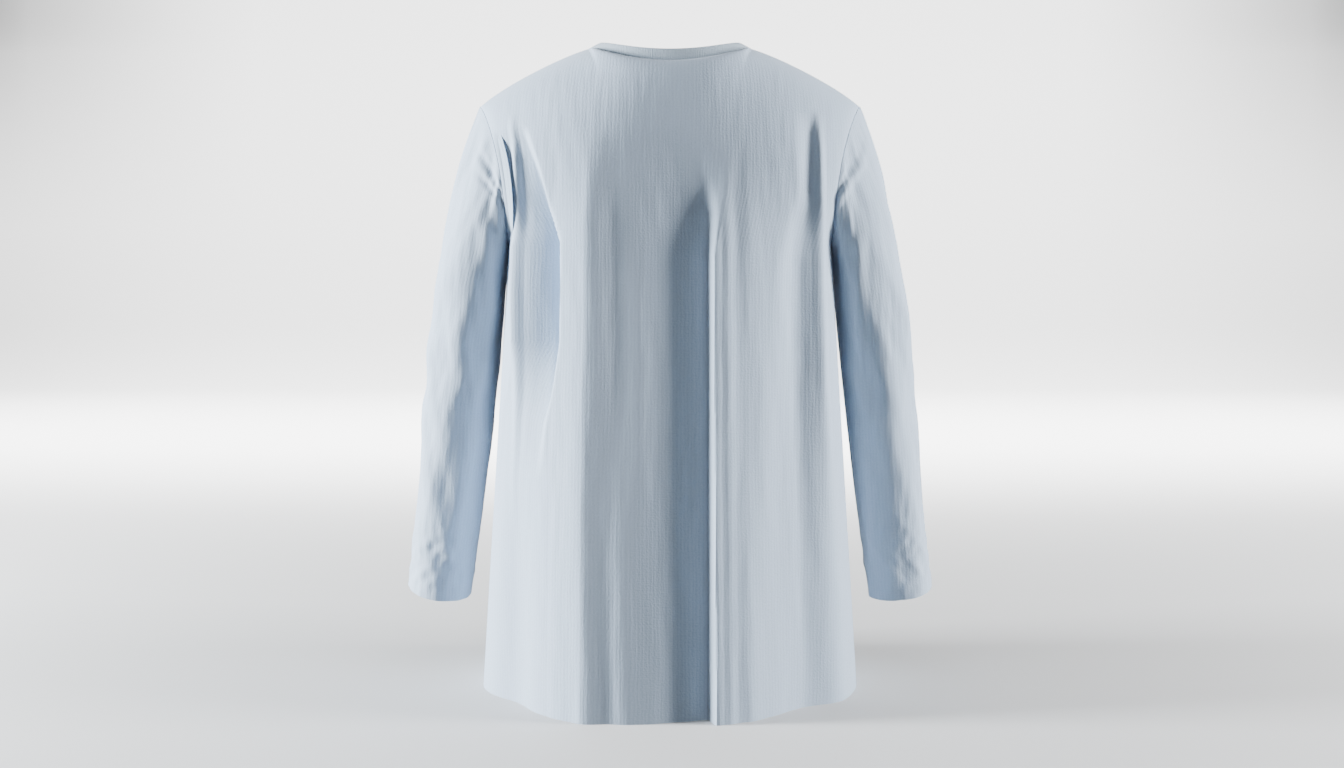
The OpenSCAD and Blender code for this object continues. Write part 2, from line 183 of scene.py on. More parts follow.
def top_point(x, front):
    share = np.clip((np.abs(x) - SEAM_HALF_W) / (SHOULDER_W / 2 - SEAM_HALF_W), 0, 1)
    turn = np.degrees(np.arcsin(np.minimum(1, np.abs(x) / SEAM_HALF_W)))
    neck = neck_point(180 - turn if front else turn, 1)
    side = neck_point(90, 1)
    at_neck = np.abs(x) < SEAM_HALF_W
    y = np.where(at_neck, neck[..., 1], lerp(side[1], TIP_Y, share))
    z = np.where(at_neck, neck[..., 2], lerp(side[2], TIP_Z, share))
    arch = SHOULDER_ARCH * (1 - (1 - share) ** 4) * (1 - share**6)
    return stack(x, y, z - EDGE_SINK + arch)


def body_point(angle, row, front):
    """angle is 0 at the middle of the back or front and 90 at the side or the armhole."""
    hem, chest = FRONT_DEPTH if front else BACK_DEPTH
    n = SECTION if front else lerp(SECTION_HEM, SECTION, np.minimum(1, row))
    turned = angle * side_angle(row) / 90
    x = half_at(row) * power(sin(turned), n) / power(sin(side_angle(row)), n)
    rise = np.maximum(0, row - 1)
    along_top = SHOULDER_W / 2 * power(sin(angle), SECTION)
    # below its edge the cloth rounds off the corner between the neck and the shoulder
    rounded = 0
    samples = 25
    for off in np.linspace(-ROUNDING, ROUNDING, samples):
        share = (1 + math.cos(math.pi * off / ROUNDING)) / (samples - 1)
        x_near = np.clip(along_top + off, -SHOULDER_W / 2, SHOULDER_W / 2)
        rounded = rounded + top_point(x_near, front) * share
    at_edge = (np.clip(rise, 0, 1) ** EDGE_POWER + 0 * along_top)[..., None]
    top = lerp(rounded, top_point(along_top, front), at_edge)
    z = np.where(row <= 1, row * UNDERARM_Z, lerp(UNDERARM_Z, top[..., 2], rise))
    below = 1 - z / UNDERARM_Z
    eased = (below + np.sqrt(below**2 + UNDERARM_EASE**2)) / 2
    depth = lerp(chest, hem, below if front else eased)
    away = 1 if front else -1
    y = SIDE_Y + away * depth * power(np.maximum(0, cos(turned)), n)
    close = 1 - (1 - np.clip(rise, 0, 1) ** 3) ** (1 / 3)
    return stack(x, lerp(y, top[..., 1], close) + away * 0.3, z)


def front_angle(x, row):
    """The angle at which the front is x from the middle."""
    side = side_angle(row)
    share = x / half_at(row) * power(sin(side), SECTION)
    turned = np.degrees(np.arcsin(np.clip(np.abs(share) ** (SECTION / 2), 0, 1)))
    return np.sign(share) * turned * 90 / side


FOLD_Z_TOP = float(
    neck_point(180 - math.degrees(math.asin(FOLD_X[1] / SEAM_HALF_W)), 1)[2]
)


def fold_x(z):
    return lerp(FOLD_X[0], FOLD_X[1], z / FOLD_Z_TOP)


def lift(side, point):
    """The left flap's height above the right one, at a point that is on its front."""
    if side == RIGHT:
        return 0 * point[..., 0]
    from_fold = fold_x(point[..., 2]) + point[..., 0]
    return LAP_GAP * smooth(from_fold / RAMP)


def row_at(x, z):
    """The row at which the front is z high."""
    top = top_point(x, True)[..., 2]
    return np.where(
        z <= UNDERARM_Z, z / UNDERARM_Z, 1 + (z - UNDERARM_Z) / (top - UNDERARM_Z)
    )


# ---- Sleeves -----------------------------------------------------------------------
CAP_END = 0.28  # where the cap has become a plain tube, as a share of the sleeve


def arm_line(s):
    late = np.maximum(0, s)
    x = ARM_X + ARM_FLARE * (1 - np.exp(-s / ARM_FLARE_RUN)) + ARM_SWING * late**1.7
    return stack(x, ARM_Y + SLEEVE_FORWARD * late**1.2, lerp(ARM_Z, CUFF_Z, s))


def arm_ring(s, turn):
    along = unit(arm_line(s + 0.01) - arm_line(s - 0.01))
    ahead = unit(np.array([0.0, 1.0, 0.0]) - along[..., 1:2] * along)
    out = np.cross(along, ahead)
    tucked = np.where(sin(turn) < 0, TUCK * np.exp(-s / TUCK_RUN), 0)
    half = CUFF_W / 2 + UPPER_WIDER * (1 - s) - tucked
    deep = lerp(UPPER_DEEP, CUFF_DEEP, np.maximum(0, s) ** 0.7)
    across = out * (half * sin(turn))[..., None]
    return arm_line(s) + across - ahead * (deep * cos(turn))[..., None]


def armhole_edge(turn):
    back = body_point(90, 1 + (turn + 90) / 180, False)
    front = body_point(90, 1 + (270 - turn) / 180, True)
    return np.where((turn <= 90)[..., None], back, front)


def sleeve_point(turn, k):
    """k is 0 at the armhole, 1 where the cap ends and 2 at the cuff."""
    turn, k = np.broadcast_arrays(turn, k)
    edge = armhole_edge(turn) + np.array([SEAM_OUT, 0, 0])
    step = 0.02
    end = arm_ring(np.full(turn.shape, CAP_END), turn)
    ahead = arm_ring(np.full(turn.shape, CAP_END + step), turn)
    behind = arm_ring(np.full(turn.shape, CAP_END - step), turn)
    end_way = (ahead - behind) / (2 * step) * CAP_END
    top = np.maximum(0, sin(turn))[..., None] ** 2
    start_way = end - edge + CAP_LIFT * top * np.array([1, 0, 0.4])
    t = np.clip(k, 0, 1)[..., None]
    a = smooth(t)
    cap = edge * (1 - a) + end * a + t * (1 - t) * ((1 - t) * start_way - t * end_way)
    arm = arm_ring(lerp(CAP_END, 1, np.maximum(0, k - 1)), turn)
    return np.where((k < 1)[..., None], cap, arm)


# ---- Folds ---------------------------------------------------------------------------
def crease(x, z, path, left, right, sharp=1.0, flank=None):
    """A ridge along a path of (z, x, height), falling off to either side in an S.

    With a flank, its left side is a plain slope of that power instead.
    """
    path = sorted(path)
    zs = [p[0] for p in path]
    middle = np.interp(z, zs, [p[1] for p in path])
    height = np.interp(z, zs, [p[2] for p in path])
    off = x - middle
    t = np.clip(np.where(off < 0, 1 + off / left, 1 - off / right), 0, 1)
    profile = smooth(t) ** sharp
    if flank is not None:
        profile = np.where(off < 0, t**flank, profile)
    return height * profile


def ripple(x, z, seed, pitch_x, pitch_z, count=18):
    """Smooth seeded unevenness with features of about pitch_x by pitch_z, height about 1."""
    rng = np.random.default_rng(seed)
    total = np.zeros(np.broadcast(x, z).shape)
    for _ in range(count):
        kx = rng.choice([-1, 1]) * 2 * math.pi / (pitch_x * rng.uniform(0.6, 1.8))
        kz = 2 * math.pi / (pitch_z * rng.uniform(0.6, 1.8))
        total += np.sin(kx * x + kz * z + rng.uniform(0, 2 * math.pi))
    return total / math.sqrt(count)


def back_relief(x, z):
    """How far the back's cloth stands out from its plain surface."""
    # the wide channel: its floor sinks slowly from the left and its right wall is steep
    d = -crease(
        x, z,
        [(0, 48, 21), (300, 48, 22), (560, 48, 20), (610, 47, 14), (645, 41, 7), (680, 26, 3),
         (715, 0, 0)],
        np.interp(z, [600, 700], [130, 110]),
        np.interp(z, [560, 620, 680], [7, 22, 56]), 1.35,
    )
    d += crease(x, z, [(0, 57, 2), (600, 57, 2), (660, 54, 0)], 9, 10)
    d += crease(x, z, [(0, 70, 0.8), (600, 70, 0.8), (680, 66, 0)], 9, 12)
    # above the channel the cloth still falls away to the right, nearly up to the neck
    d += crease(
        x, z, [(540, -95, 0), (620, -95, 4), (700, -93, 6), (745, -90, 5), (790, -85, 0)], 120, 115
    )
    # the upright crest on the channel's left
    d += crease(
        x, z, [(0, -105, 9), (350, -105, 9), (600, -104, 8), (720, -98, 0)], 44, 38, flank=1.0
    )
    d -= crease(x, z, [(0, -205, 16), (200, -200, 12), (420, -196, 5), (520, -196, 0)], 40, 62)
    # the right half falls back from its crest
    d -= crease(
        x, z,
        [(0, 176, 21), (250, 168, 18), (450, 160, 13), (600, 158, 7), (680, 150, 0)], 104, 44
    )
    d -= crease(x, z, [(0, 84, 1.5), (600, 84, 1.5), (700, 84, 0)], 12, 16)
    # the narrow drag from the right armhole, which opens out further down
    d -= crease(
        x, z,
        [(745, 178, 0), (715, 179, 5), (675, 180, 6), (625, 181, 6.5), (551, 173, 9),
         (476, 174, 8), (376, 172, 5), (250, 172, 1.5), (150, 172, 0)],
        np.interp(z, [520, 640], [42, 22]), np.interp(z, [560, 640], [24, 10]),
    )
    d += crease(x, z, [(740, 190, 0), (690, 191, 3), (400, 196, 3), (200, 205, 0)], 9, 9)
    # the drag from the left armhole, with its hard right edge
    d -= crease(
        x, z,
        [(722, -190, 0), (704, -186, 8), (672, -175, 15), (613, -160, 30), (572, -147, 44),
         (450, -147, 43), (400, -154, 24), (350, -164, 9), (280, -172, 0)],
        56, 11, flank=0.85,
    )
    d += crease(x, z, [(740, -202, 0), (680, -200, 5), (400, -202, 4), (200, -206, 0)], 8, 8)
    low_part = smooth((760 - z) / 400)
    d += 0.6 * low_part * ripple(x, z, 4, 46, 520)
    d += 0.1 * ripple(x, z, 5, 17, 110)
    return d


def front_relief(x, z):
    d = 3.0 * smooth((700 - z) / 600) * ripple(x, z, 11, 170, 2400)
    d += 0.7 * smooth((740 - z) / 300) * ripple(x, z, 12, 60, 700)
    d += 0.2 * ripple(x, z, 13, 17, 110)
    return d


def sleeve_relief(point, side, around, along):
    """Drag lines at the armhole, soft pulls at the elbow and small crinkles at the cuff."""
    x = np.abs(point[..., 0])
    z = point[..., 2]
    back = smooth((60 - point[..., 1]) / 60)
    if side == LEFT:
        d = -crease(x, z, [(704, 252, 0), (690, 244, 3), (636, 216, 5), (610, 205, 0)], 7, 9)
        d += crease(x, z, [(692, 258, 0), (673, 243, 1), (634, 217, 1), (618, 208, 0)], 8, 8)
        d -= crease(x, z, [(674, 256, 0), (656, 241, 3), (628, 217, 3), (612, 208, 0)], 7, 9)
        d += crease(x, z, [(620, 247, 0), (590, 240, 3), (492, 234, 3), (440, 236, 0)], 16, 12)
        d += crease(x, z, [(190, 342, 0), (172, 334, 2.5), (140, 312, 2.5), (120, 300, 0)], 8, 8)
        d -= crease(x, z, [(172, 342, 0), (158, 334, 2), (128, 316, 2), (112, 306, 0)], 8, 8)
    else:
        d = -crease(x, z, [(700, 246, 0), (672, 232, 3), (624, 204, 5), (600, 200, 0)], 8, 9)
        d += crease(x, z, [(720, 262, 0), (676, 248, 4), (620, 210, 4), (590, 204, 0)], 8, 12)
        d += crease(x, z, [(600, 250, 0), (560, 244, 4), (440, 244, 4), (380, 250, 0)], 16, 14)
        d -= crease(x, z, [(560, 262, 0), (500, 262, 4), (380, 268, 4), (300, 272, 0)], 20, 20)
        d += crease(x, z, [(215, 250, 0), (198, 252, 5), (188, 252, 5), (170, 250, 0)], 16, 16)
    d = 0.6 * d * back
    seed = 20 if side == LEFT else 30
    bend = np.exp(-(((z - 400) / 90) ** 2))
    d += (0.7 + 0.9 * bend) * ripple(around, along + 0.5 * around, seed, 70, 120)
    d += 1.2 * ripple(around, along, seed + 1, 60, 420)
    d += 0.3 * ripple(around, along, seed + 2, 18, 70)
    d += 0.8 * np.exp(-((z - CUFF_Z - 50) / 45) ** 2) * ripple(around, along, seed + 3, 24, 30)
    return d


# ---- Meshes --------------------------------------------------------------------------
def normals(grid):
    """Rows go up and columns go anticlockwise seen from above, so this points outwards."""
    return unit(np.cross(np.gradient(grid, axis=1), np.gradient(grid, axis=0)))


def lengths(grid, axis):
    step = np.linalg.norm(np.diff(grid, axis=axis), axis=-1)
    zero = np.zeros_like(np.take(step, [0], axis=axis))
    return np.cumsum(np.concatenate([zero, step], axis=axis), axis=axis)


def cloth_coordinates(grid, straight=None):
    """Distances on the cloth: across from its straight column, and up from the first row."""
    across = lengths(grid, 1)
    column = across.shape[1] // 2 if straight is None else straight
    across = across - across[:, column][:, None]
    return across, lengths(grid, 0)


def new_object(name, points, faces, material, cloth=None):
    mesh = bpy.data.meshes.new(name)
    mesh.from_pydata((points * MM).tolist(), [], faces)
    mesh.polygons.foreach_set("use_smooth", [True] * len(mesh.polygons))
    mesh.set_sharp_from_angle(angle=math.radians(50))
    if cloth is not None:
        layer = mesh.attributes.new("cloth", "FLOAT_VECTOR", "POINT")
        layer.data.foreach_set("vector", (cloth * MM).astype(np.float32).ravel())
    mesh.materials.append(material)
    mesh.update()
    obj = bpy.data.objects.new(name, mesh)
    bpy.context.scene.collection.objects.link(obj)
    return obj


def sheet_object(
    name, grid, material, out=0.0, thick=CLOTH, pillow=0.0, standing=False, straight=None
):
    """A closed sheet whose outer face stands `out` off the grid."""
    n, m = grid.shape[:2]
    across, up = cloth_coordinates(grid, straight)
    way = normals(grid)
    swell = np.zeros((n, m, 1))
    if pillow:
        t = np.linspace(-1, 1, n)[:, None, None]
        swell = pillow * (1 - t**4) * np.ones((1, m, 1))
    outer = grid + way * (out + swell)
    inner = grid + way * (out - thick)
    if standing:
        floor = grid[..., 2] < 0.01
        outer[floor, 2] = 0
        inner[floor, 2] = 0
    points = np.concatenate([outer.reshape(-1, 3), inner.reshape(-1, 3)])
    cloth = stack(across, up, 0).reshape(-1, 3)
    index = np.arange(n * m).reshape(n, m)
    a, b = index[:-1, :-1].ravel(), index[:-1, 1:].ravel()
    c, d = index[1:, 1:].ravel(), index[1:, :-1].ravel()
    size = n * m
    quads = [np.stack([a, b, c, d], 1), size + np.stack([a, d, c, b], 1)]
    for line, turned in (
        (index[0], False), (index[-1], True), (index[:, 0], True), (index[:, -1], False)
    ):
        p, q = (line[1:], line[:-1]) if not turned else (line[:-1], line[1:])
        quads.append(np.stack([p, q, q + size, p + size], 1))
    faces = np.concatenate(quads).tolist()
    return new_object(name, points, faces, material, np.concatenate([cloth, cloth]))


def even_shares(line, count):
    """Parameters from 0 to 1 that cut a finely sampled line into equal lengths."""
    walked = lengths(line[None], 1)[0]
    return np.interp(
        np.linspace(0, walked[-1], count + 1), walked, np.linspace(0, 1, len(line))
    )


STITCH_RINGS = ((-0.5, 0.55), (-0.3, 1), (0.3, 1), (0.5, 0.55))  # place along it and width


def stitches(name, lines, material, pitch=3.4, length=2.5, wide=0.3, up=0.22):
    """Rows of thread. A line is its points and the cloth's normals at them; each stitch is a
    small six-sided bar that lies on the cloth."""
    points, faces = [], []
    for line, ways in lines:
        walked = lengths(line[None], 1)[0]
        count = max(1, int(walked[-1] / pitch))
        for k in range(count):
            mid, near, far, normal = (
                np.array([np.interp(at, walked, values[:, axis]) for axis in range(3)])
                for values, at in (
                    (line, (k + 0.5) * pitch), (line, k * pitch),
                    (line, (k + 1) * pitch), (ways, (k + 0.5) * pitch),
                )
            )
            run = unit(far - near)
            across = unit(np.cross(run, normal))
            base = len(points)
            for end, size in STITCH_RINGS:
                for turn in range(0, 360, 60):
                    side = across * wide * size * cos(turn)
                    rise = normal * up * (0.4 + size * sin(turn))
                    points.append(mid + run * end * length + side + rise)
            last = base + 6 * (len(STITCH_RINGS) - 1)
            for ring in range(base, last, 6):
                for corner in range(6):
                    a, b = ring + corner, ring + (corner + 1) % 6
                    faces.append([a, a + 6, b + 6, b])
            faces.append([base + corner for corner in range(6)])
            faces.append([last + corner for corner in range(5, -1, -1)])
    return new_object(name, np.array(points), faces, material)


# ---- Materials -----------------------------------------------------------------------
def math_node(tree, operation, a, b=0.0, clamp=False):
    made = tree.nodes.new("ShaderNodeMath")
    made.operation = operation
    made.use_clamp = clamp
    for slot, value in enumerate((a, b)):
        if isinstance(value, (int, float)):
            made.inputs[slot].default_value = value
        else:
            tree.links.new(value, made.inputs[slot])
    return made.outputs[0]


DIMPLE_PITCH = 0.0042  # metres
BUMP_HEIGHT = 0.0012  # metres


def fabric(name, color, shade, ribs=0.0048, depth=0.5, dimples=0.5, see_through=0.14):
    """A crinkled cotton: upright ribs, fine dimples on a diagonal grid and slubs; its colour is
    painted darker as shade in the grooves of the ribs and dimples, and also varies at random with
    the grain and slubs.
    """
    material = bpy.data.materials.new(name)
    material.use_nodes = True
    tree = material.node_tree
    tree.nodes.clear()
    links = tree.links
    place = tree.nodes.new("ShaderNodeAttribute")
    place.attribute_name = "cloth"
    parts = tree.nodes.new("ShaderNodeSeparateXYZ")
    links.new(place.outputs["Vector"], parts.inputs[0])
    across, up = parts.outputs[0], parts.outputs[1]

    def noise(scale_x, scale_y, detail=2.0):
        scaled = tree.nodes.new("ShaderNodeVectorMath")
        scaled.operation = "MULTIPLY"
        scaled.inputs[1].default_value = (scale_x, scale_y, 1)
        links.new(place.outputs["Vector"], scaled.inputs[0])
        made = tree.nodes.new("ShaderNodeTexNoise")
        made.inputs["Scale"].default_value = 1.0
        made.inputs["Detail"].default_value = detail
        links.new(scaled.outputs[0], made.inputs["Vector"])
        return made.outputs[0]

    def times(a, b):
        return math_node(tree, "MULTIPLY", a, b)

    def plus(a, b):
        return math_node(tree, "ADD", a, b)

    def minus(a, b):
        return math_node(tree, "SUBTRACT", a, b)

    def waves(value, pitch):
        return math_node(tree, "SINE", times(value, 2 * math.pi / pitch))

    # ribs that wander by a few millimetres and fade in and out
    wander = times(minus(noise(90, 22), 0.5), 0.006)
    rib = times(waves(plus(across, wander), ribs), 0.3)
    broken = times(rib, noise(260, 60, 3.0))
    dimple = times(waves(plus(across, up), DIMPLE_PITCH), waves(minus(across, up), DIMPLE_PITCH))
    fine = times(dimple, 0.16 * dimples)
    slub = times(noise(700, 190, 3.0), 0.3)
    grain = times(minus(noise(430, 380, 3.0), 0.5), 1.3)
    height = plus(broken, plus(fine, plus(slub, grain)))

    # painted shade: the colour is darker where the ribs and dimples sink, as shade in their
    # grooves, and the grain and slubs vary it at random
    mix = tree.nodes.new("ShaderNodeMix")
    mix.data_type = "RGBA"
    mix.inputs["A"].default_value = (*shade, 1)
    mix.inputs["B"].default_value = (*color, 1)
    groove_shade_and_tone = math_node(tree, "ADD", times(height, 1.1), 0.45, clamp=True)
    links.new(groove_shade_and_tone, mix.inputs["Factor"])

    bump = tree.nodes.new("ShaderNodeBump")
    bump.inputs["Strength"].default_value = depth
    bump.inputs["Distance"].default_value = BUMP_HEIGHT
    links.new(height, bump.inputs["Height"])

    cloth = tree.nodes.new("ShaderNodeBsdfPrincipled")
    cloth.inputs["Roughness"].default_value = 0.88
    cloth.inputs["Specular IOR Level"].default_value = 0.18
    cloth.inputs["Sheen Weight"].default_value = 0.25
    cloth.inputs["Sheen Roughness"].default_value = 0.6
    links.new(mix.outputs["Result"], cloth.inputs["Base Color"])
    links.new(bump.outputs[0], cloth.inputs["Normal"])
    through = tree.nodes.new("ShaderNodeBsdfTranslucent")
    links.new(mix.outputs["Result"], through.inputs["Color"])
    links.new(bump.outputs[0], through.inputs["Normal"])
    both = tree.nodes.new("ShaderNodeMixShader")
    both.inputs[0].default_value = see_through
    links.new(cloth.outputs[0], both.inputs[1])
    links.new(through.outputs[0], both.inputs[2])
    output = tree.nodes.new("ShaderNodeOutputMaterial")
    links.new(both.outputs[0], output.inputs["Surface"])
    return material


# the second colour of each is the painted shade in the cloth's grooves, which also carries its
# random darker tone
GOWN = fabric("gown_cloth", (0.53, 0.645, 0.79), (0.44, 0.55, 0.695), depth=0.22)
INNER = fabric("gown_cloth_inside", (0.52, 0.645, 0.78), (0.40, 0.51, 0.65), depth=0.35)
BINDING = fabric(
    "binding_cloth", (0.50, 0.60, 0.70), (0.42, 0.52, 0.62), 0.0024, 0.35, 0.8
)
TAPE = fabric("tie_cloth", (0.45, 0.57, 0.71), (0.36, 0.47, 0.60), 0.0022, 0.35, 0.8)
LABEL = fabric("label_cloth", (0.86, 0.87, 0.88), (0.78, 0.79, 0.80), 0.0011, 0.2, 0.3)
THREAD = fabric("thread", (0.60, 0.71, 0.82), (0.48, 0.60, 0.73), 0.0006, 0.2, 0.0)


# ---- Pieces --------------------------------------------------------------------------
def rows_between(first, last, step_mm):
    """Rows whose spacing is about step_mm on the panel, dense enough near the top edge."""
    low = np.arange(0, 1, step_mm / UNDERARM_Z)
    t = np.linspace(0, 1, int(ABOVE_UNDERARM / step_mm))
    high = 1 + np.sin(math.pi / 2 * t)
    rows = np.concatenate([low, high])
    inside = rows[(rows > first + 1e-6) & (rows < last - 1e-6)]
    return np.concatenate([[first], inside, [last]])


def displaced(grid, height):
    """Moves a panel's points out by a height, sideways only at the hem, which stays level."""
    way = normals(grid)
    for _ in range(12):
        way[1:-1] += (way[:-2] - 2 * way[1:-1] + way[2:]) / 4
    way[..., 2] *= smooth(grid[..., 2] / 150)
    moved = grid + way * height[..., None]
    floor = grid[..., 2] < 0.01
    moved[floor, 2] = 0
    return moved


BACK_COLUMNS = 270
BACK_SHARES = even_shares(body_point(np.linspace(-90, 90, 2001), 0.0, False), BACK_COLUMNS)


def back_surface(rows, shares=BACK_SHARES):
    angles = lerp(-90, 90, shares)[None, :]
    grid = body_point(angles, rows[:, None], False)
    x, z = grid[..., 0], grid[..., 2]
    half = half_at(rows)[:, None]
    side = smooth((half - np.abs(x)) / 9)
    top = smooth((top_point(x, False)[..., 2] - z) / 45)
    # the panel bends gently at the underarm, where its plain surface has a corner
    ease = (side * np.exp(-(((z - UNDERARM_Z) / 50) ** 2)))[1:-1, :, None]
    for _ in range(16):
        grid[1:-1] += ease * (grid[:-2] - 2 * grid[1:-1] + grid[2:]) / 4
    return displaced(grid, back_relief(x, z) * side * top)


def front_surface(side, rows, angles):
    """angles run from the side seam, 90, towards the free edge."""
    grid = body_point(angles, rows[:, None], True)
    x, z = grid[..., 0], grid[..., 2]
    window = smooth((half_at(rows)[:, None] - x) / 12)
    window = window * smooth((top_point(x, True)[..., 2] - z) / 45)
    grid = grid * np.array([side, 1, 1])
    grid[..., 1] += lift(side, grid)
    if side == LEFT:
        grid = grid[:, ::-1]
        window = window[:, ::-1]
    return displaced(grid, front_relief(grid[..., 0], grid[..., 2]) * window)


def front_angles(rows, near, far, count):
    """Evenly spaced columns between two distances from the middle; None is the side seam."""
    ends = []
    for x in (near, far):
        ends.append(np.full(rows.shape, 90.0) if x is None else front_angle(x + 0 * rows, rows))
    line = body_point(np.linspace(ends[0][0], ends[1][0], 1201), rows[0], True)
    shares = even_shares(line, count)
    return lerp(ends[0][:, None], ends[1][:, None], shares[None, :])


ROWS = rows_between(0, 2, 5)
FACING_X = 15  # how far a facing reaches past the middle
SLEEVE_COLUMNS = 129
CUFF_ROW = 4.7  # height of one row of the sleeve's cloth
SHOULDER_ALLOWANCE_BELOW = 5.8


def add(piece, nodes):
    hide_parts(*nodes)
    return piece


def bend_at_fold(piece):
    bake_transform(piece)


back_cloth = add(
    sheet_object("back_cloth", back_surface(ROWS), GOWN, standing=True),
    ["back_panel"],
)
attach(back_cloth, "body")

hem_rows = np.linspace(HEM_EDGE / UNDERARM_Z, HEM_D / UNDERARM_Z, 6)
back_hem = add(
    sheet_object(
        "back_hem_turned", back_surface(hem_rows)[:, 3:-3], INNER, -CLOTH - LAYER, TURNED
    ),
    ["back_hem"],
)
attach(back_hem, "body")

def inside_rows(first, last, step_mm):
    return rows_between(first / UNDERARM_Z, last, step_mm)


def front_pieces(side):
    """One front: its cloth, the facing along its free edge, the stitching and the hem."""
    name = NAMES[side]
    angles = front_angles(ROWS, None, -LAP, 112)
    cloth = add(
        sheet_object(
            name + "_front_cloth", front_surface(side, ROWS, angles), GOWN,
            standing=True, straight=0 if side == LEFT else -1,
        ),
        [name + "_front_panel", name + "_front_flap"],
    )
    bend_at_fold(cloth)

    rows = inside_rows(HEM_EDGE, 1.985, 6)
    angles = front_angles(rows, FACING_X, -LAP + 0.8, 14)
    facing = add(
        sheet_object(
            name + "_facing", front_surface(side, rows, angles), INNER, -CLOTH - LAYER, TURNED
        ),
        [name + "_flap_facing"],
    )
    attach(facing, name + "_flap")

    rows = inside_rows(HEM_D + 2, 1.97, 4)
    angles = front_angles(rows, FACING_X - 1.5, FACING_X - 4.5, 2)
    grid = front_surface(side, rows, angles)
    thread = stitches(name + "_front_stitching", [(grid[:, 1], normals(grid)[:, 1])], THREAD)
    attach(thread, name + "_flap")

    angles = front_angles(hem_rows, HEM_W / 2 - 9, FACING_X + 1.5, 86)
    hem = add(
        sheet_object(
            name + "_front_hem_turned", front_surface(side, hem_rows, angles),
            INNER, -CLOTH - LAYER, TURNED,
        ),
        [name + "_front_hem", name + "_flap_hem"],
    )
    bend_at_fold(hem)


def sleeve_pieces(side):
    """A sleeve, sewn up under the arm, where its grid starts and ends, and its turned cuff."""
    name = NAMES[side]
    turns = np.linspace(-89.8, 269.8, SLEEVE_COLUMNS)
    turns = turns if side == RIGHT else turns[::-1]
    ks = np.concatenate([np.linspace(2, 1, 90, endpoint=False), np.linspace(1, 0, 60)])
    grid = sleeve_point(turns[None, :], ks[:, None]) * np.array([side, 1, 1])
    around, along = cloth_coordinates(grid)
    height = sleeve_relief(grid, side, around, along) * smooth(ks[:, None] / 0.08)
    columns = np.arange(SLEEVE_COLUMNS)
    at_seam = smooth(np.minimum(columns, columns[::-1]) / 5)[None, :]
    grid = grid + normals(grid) * (height * at_seam)[..., None]
    sleeve = sheet_object(name + "_sleeve_cloth", grid, GOWN)
    add(sleeve, [name + "_sleeve"])
    cuff_rows = int(HEM_D / CUFF_ROW) + 1
    cuff = add(
        sheet_object(
            name + "_cuff_turned", grid[:cuff_rows] + np.array([0, 0, 0.5]),
            INNER, -CLOTH - LAYER, TURNED,
        ),
        [name + "_cuff_hem"],
    )
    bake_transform(sleeve)
    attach(cuff, name + "_sleeve")


def allowance(name, grid, node, out=-CLOTH - 3 * LAYER):
    strip = sheet_object(name, grid, INNER, out, TURNED)
    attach(add(strip, [node]), "body")


def allowance_pieces(side):
    """The edges inside the armhole, the side seam and the shoulder seam."""
    name = NAMES[side]
    for front, part in ((False, "back"), (True, "front")):
        rows = rows_between(1.06, 1.985, 6)
        grid = body_point(np.linspace(80, 88.5, 5)[None, :], rows[:, None], front)
        grid = grid * np.array([side, 1, 1])
        if (side == RIGHT) == front:
            grid = grid[:, ::-1]
        allowance(f"{name}_armhole_allowance_{part}", grid, name + "_armhole_seam")

    rows = np.linspace((HEM_D + 4) / UNDERARM_Z, 1 - 12 / UNDERARM_Z, 60)
    off = np.linspace(-6, 6, 5) * side
    hem_deep = np.where(off > 0, FRONT_DEPTH[0], BACK_DEPTH[0])
    chest_deep = np.where(off > 0, FRONT_DEPTH[1], BACK_DEPTH[1])
    deep = lerp(hem_deep[None, :], chest_deep[None, :], rows[:, None])
    n = np.where(off[None, :] > 0, SECTION, lerp(SECTION_HEM, SECTION, rows[:, None]))
    x = half_at(rows)[:, None] * (1 - (np.abs(off)[None, :] / deep) ** n) ** (1 / n)
    grid = stack(side * x, SIDE_Y + off[None, :], rows[:, None] * UNDERARM_Z)
    allowance(name + "_side_allowance", grid, name + "_side_seam")

    xs = np.sort(np.linspace(SEAM_HALF_W + 12, SHOULDER_W / 2 - 22, 24) * side)
    line = top_point(xs, True)
    across = np.array([-5, -2.5, 0, 2.5, 5])[:, None]
    below = SHOULDER_ALLOWANCE_BELOW + 0.9 * np.abs(across)
    grid = stack(line[:, 0], line[:, 1] + across, line[:, 2] - below)
    allowance(name + "_shoulder_allowance", grid, name + "_shoulder_seam", out=0)


for side in (LEFT, RIGHT):
    front_pieces(side)
    sleeve_pieces(side)
    allowance_pieces(side)


# ---- Neck band -----------------------------------------------------------------------
def band_grid(first, last, count):
    turns = np.linspace(first, last, count)[None, :]
    return neck_point(turns, np.linspace(1, 0, 9)[:, None])


band = add(
    sheet_object("neck_band_back_binding", band_grid(-89.8, 89.8, 120), BINDING, 0.5, 2.0, 0.5),
    ["neck_band_back"],
)
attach(band, "body")
lap_turn = math.degrees(math.asin(LAP / SEAM_HALF_W))
for side in (LEFT, RIGHT):
    name = NAMES[side]
    ends = (90.2, 180 + lap_turn) if side == RIGHT else (180 - lap_turn, 269.8)
    grid = band_grid(*ends, 90)
    if side == LEFT:
        edge = FOLD_X[1] * neck_point(90, np.linspace(1, 0, 9))[:, 0] / SEAM_HALF_W
        grid[..., 1] += LAP_GAP * smooth((grid[..., 0] + edge[:, None]) / RAMP)
    band = add(
        sheet_object(name + "_neck_binding", grid, BINDING, 0.5, 2.0, 0.5),
        [name + "_neck_band", name + "_flap_neck_band"],
    )
    bend_at_fold(band)


# ---- Ties ----------------------------------------------------------------------------
def tie_middle(side):
    return LAP - TIE_STEP - TIE_W / 2 if side == LEFT else LAP + TIE_STEP + TIE_W / 2


